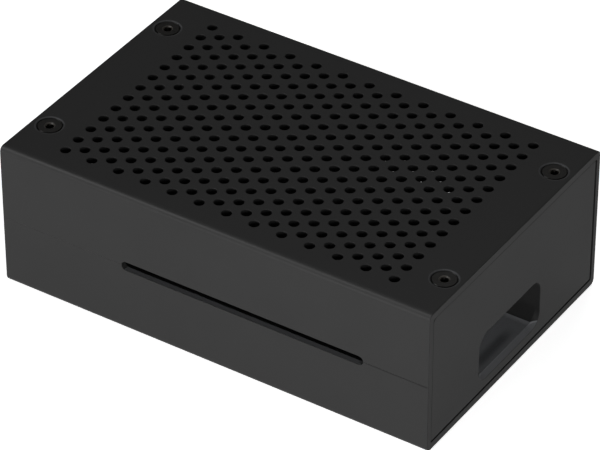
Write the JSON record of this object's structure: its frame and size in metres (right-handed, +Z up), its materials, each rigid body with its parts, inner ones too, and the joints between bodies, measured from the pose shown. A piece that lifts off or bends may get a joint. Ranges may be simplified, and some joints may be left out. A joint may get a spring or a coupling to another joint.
{
  "type": "single board computer case",
  "caption": "Black aluminium case for a single board computer: perforated roof, ribbon slot, card opening and socket cut-outs.",
  "frame": {"origin": "middle of the underside", "axes": "+X along the case towards the memory card end, +Y towards the wall with the power and video openings, +Z up"},
  "size_m": [0.094, 0.0604, 0.0312],
  "materials": {
    "anodised_shell": "matt black anodised",
    "anodised_block": "matt black anodised, milled",
    "screw_steel": "black oxide, light oil sheen",
    "post_steel": "zinc plated"
  },
  "bodies": {
    "root": {"top_shell": "anodised_shell", "bottom_shell": "anodised_shell", "card_end_block": "anodised_block", "port_end_block": "anodised_block", "top_screws": "screw_steel", "bottom_screws": "screw_steel", "board_post_port_front": "post_steel", "board_post_port_back": "post_steel", "board_post_card_front": "post_steel", "board_post_card_back": "post_steel"}
  },
  "joints": []
}
